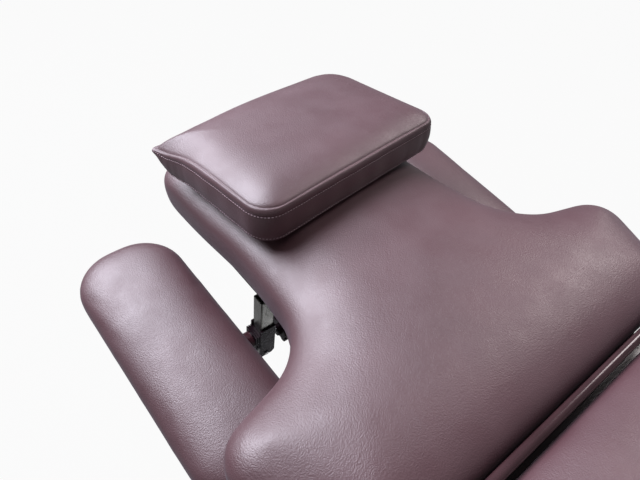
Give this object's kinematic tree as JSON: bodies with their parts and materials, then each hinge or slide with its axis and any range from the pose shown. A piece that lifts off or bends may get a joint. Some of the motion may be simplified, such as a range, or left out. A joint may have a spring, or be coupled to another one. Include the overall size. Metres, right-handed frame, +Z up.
{
  "type": "beauty treatment bed",
  "caption": "Electric beauty treatment bed: padded back, seat and leg sections on lifting columns, with shoulder wings, a loose pillow and height-adjustable armrests.",
  "frame": {"origin": "on the floor, under the middle of the bed", "axes": "+Z up, +Y towards the head end, +X towards the side that lies on the right when looking towards the head end"},
  "size_m": [0.7232, 1.83, 0.7098],
  "materials": {
    "leather": "semi-gloss mauve-brown synthetic leather, fine grain",
    "plywood": "board under a thin dark lining cloth",
    "frame_paint": "satin powder coat",
    "column_alloy": "satin anodised",
    "rubber": "matt",
    "black_plastic": "fine texture",
    "grey_plastic": "fine texture",
    "hub_plastic": "dark brown, glossy",
    "chrome": "polished",
    "steel": "zinc plated"
  },
  "bodies": {
    "base": {"base_frame": "frame_paint", "base_end_caps": "black_plastic", "base_feet": "rubber", "column_bolts": "steel", "column_collars": "black_plastic", "column_outer_head": "column_alloy", "column_outer_foot": "column_alloy"},
    "column_mid_head": {"column_mid_head": "column_alloy"},
    "column_mid_foot": {"column_mid_foot": "column_alloy"},
    "lift": {"column_inner_head": "column_alloy", "column_inner_foot": "column_alloy", "lift_frame": "frame_paint", "lift_end_caps": "black_plastic", "rest_buffers": "rubber", "seat_board": "plywood", "seat_cushion": "leather", "fold_roll_back": "leather", "fold_roll_leg": "leather", "back_hinge_pins": "steel", "leg_hinge_pins": "steel", "actuator_base_pins": "steel", "control_box": "grey_plastic", "cable_gland": "black_plastic"},
    "back": {"back_frame": "frame_paint", "back_end_caps": "black_plastic", "back_board": "plywood", "back_flap": "leather", "back_cushion": "leather", "back_actuator_pin": "steel", "arm_tube_left": "chrome", "arm_tube_right": "chrome"},
    "leg": {"leg_frame": "frame_paint", "leg_end_caps": "black_plastic", "leg_board": "plywood", "leg_flap": "leather", "leg_cushion": "leather", "leg_actuator_pin": "steel"},
    "pillow": {"pillow": "leather"},
    "back_actuator": {"back_actuator_body": "grey_plastic", "back_actuator_motor": "black_plastic"},
    "back_rod": {"back_actuator_rod": "chrome"},
    "leg_actuator": {"leg_actuator_body": "grey_plastic", "leg_actuator_motor": "black_plastic"},
    "leg_rod": {"leg_actuator_rod": "chrome"},
    "rocker_lift": {"rocker_lift": "black_plastic"},
    "rocker_back": {"rocker_back": "black_plastic"},
    "rocker_leg": {"rocker_leg": "black_plastic"},
    "arm_slide_left": {"arm_block_left": "black_plastic"},
    "arm_rest_left": {"arm_hub_left": "hub_plastic", "arm_board_left": "plywood", "arm_pad_left": "leather"},
    "arm_turn_left": {"arm_knob_left": "black_plastic", "arm_stud_left": "steel"},
    "arm_slide_right": {"arm_block_right": "black_plastic"},
    "arm_rest_right": {"arm_hub_right": "hub_plastic", "arm_board_right": "plywood", "arm_pad_right": "leather"},
    "arm_turn_right": {"arm_knob_right": "black_plastic", "arm_stud_right": "steel"}
  },
  "joints": [
    {"name": "lift_travel", "type": "slide", "parent": "base", "child": "lift", "axis": [0, 0, 1], "range_m": [0, 0.25]},
    {"name": "column_mid_head_travel", "type": "slide", "parent": "base", "child": "column_mid_head", "axis": [0, 0, 1], "range_m": [0, 0.125]},
    {"name": "column_mid_foot_travel", "type": "slide", "parent": "base", "child": "column_mid_foot", "axis": [0, 0, 1], "range_m": [0, 0.125]},
    {"name": "back_tilt", "type": "hinge", "parent": "lift", "child": "back", "pos_m": [0, 0.269, 0.62], "axis": [1, 0, 0], "range_deg": [0, 65]},
    {"name": "leg_tilt", "type": "hinge", "parent": "lift", "child": "leg", "pos_m": [0, -0.251, 0.53], "axis": [1, 0, 0], "range_deg": [0, 50]},
    {"name": "back_actuator_swing", "type": "hinge", "parent": "lift", "child": "back_actuator", "pos_m": [0.152, 0.087, 0.382], "axis": [1, 0, 0], "range_deg": [0, 32.5]},
    {"name": "back_rod_travel", "type": "slide", "parent": "back_actuator", "child": "back_rod", "axis": [0, 1, 0], "range_m": [0, 0.19885]},
    {"name": "leg_actuator_swing", "type": "hinge", "parent": "lift", "child": "leg_actuator", "pos_m": [-0.152, -0.029, 0.438], "axis": [1, 0, 0], "range_deg": [0, 25]},
    {"name": "leg_rod_travel", "type": "slide", "parent": "leg_actuator", "child": "leg_rod", "axis": [0, 1, 0], "range_m": [0, 0.11946]},
    {"name": "pillow_lift_off", "type": "slide", "parent": "back", "child": "pillow", "axis": [0, 0, 1], "range_m": [0, 0.12]},
    {"name": "rocker_lift_press", "type": "hinge", "parent": "lift", "child": "rocker_lift", "pos_m": [-0.1785, 0.044, 0.474], "axis": [0, 0, 1], "range_deg": [-7, 7], "stiffness_Nm_per_rad": 0.08},
    {"name": "rocker_back_press", "type": "hinge", "parent": "lift", "child": "rocker_back", "pos_m": [-0.1785, 0.092, 0.474], "axis": [0, 0, 1], "range_deg": [-7, 7], "stiffness_Nm_per_rad": 0.08},
    {"name": "rocker_leg_press", "type": "hinge", "parent": "lift", "child": "rocker_leg", "pos_m": [-0.1785, 0.14, 0.474], "axis": [0, 0, 1], "range_deg": [-7, 7], "stiffness_Nm_per_rad": 0.08},
    {"name": "arm_height_left", "type": "slide", "parent": "back", "child": "arm_slide_left", "axis": [0, -0.1305, 0.9914], "range_m": [-0.02, 0.01]},
    {"name": "arm_pitch_left", "type": "hinge", "parent": "arm_slide_left", "child": "arm_rest_left", "pos_m": [-0.2, 0.64, 0.453], "axis": [1, 0, 0], "range_deg": [-4, 20]},
    {"name": "arm_knob_turn_left", "type": "hinge", "parent": "arm_slide_left", "child": "arm_turn_left", "pos_m": [-0.117, 0.64209, 0.43714], "axis": [1, 0, 0], "range_deg": [-180, 180]},
    {"name": "arm_height_right", "type": "slide", "parent": "back", "child": "arm_slide_right", "axis": [0, -0.1305, 0.9914], "range_m": [-0.02, 0.01]},
    {"name": "arm_pitch_right", "type": "hinge", "parent": "arm_slide_right", "child": "arm_rest_right", "pos_m": [0.2, 0.64, 0.453], "axis": [1, 0, 0], "range_deg": [-4, 20]},
    {"name": "arm_knob_turn_right", "type": "hinge", "parent": "arm_slide_right", "child": "arm_turn_right", "pos_m": [0.117, 0.64209, 0.43714], "axis": [1, 0, 0], "range_deg": [-180, 180]}
  ],
  "couplings": [
    {"joint": "column_mid_head_travel", "follows": "lift_travel", "ratio": 0.5},
    {"joint": "column_mid_foot_travel", "follows": "lift_travel", "ratio": 0.5},
    {"joint": "back_actuator_swing", "follows": "back_tilt", "ratio": 0.5},
    {"joint": "back_rod_travel", "follows": "back_tilt", "m_per_rad": 0.17519},
    {"joint": "leg_actuator_swing", "follows": "leg_tilt", "ratio": 0.5},
    {"joint": "leg_rod_travel", "follows": "leg_tilt", "m_per_rad": 0.13678}
  ]
}
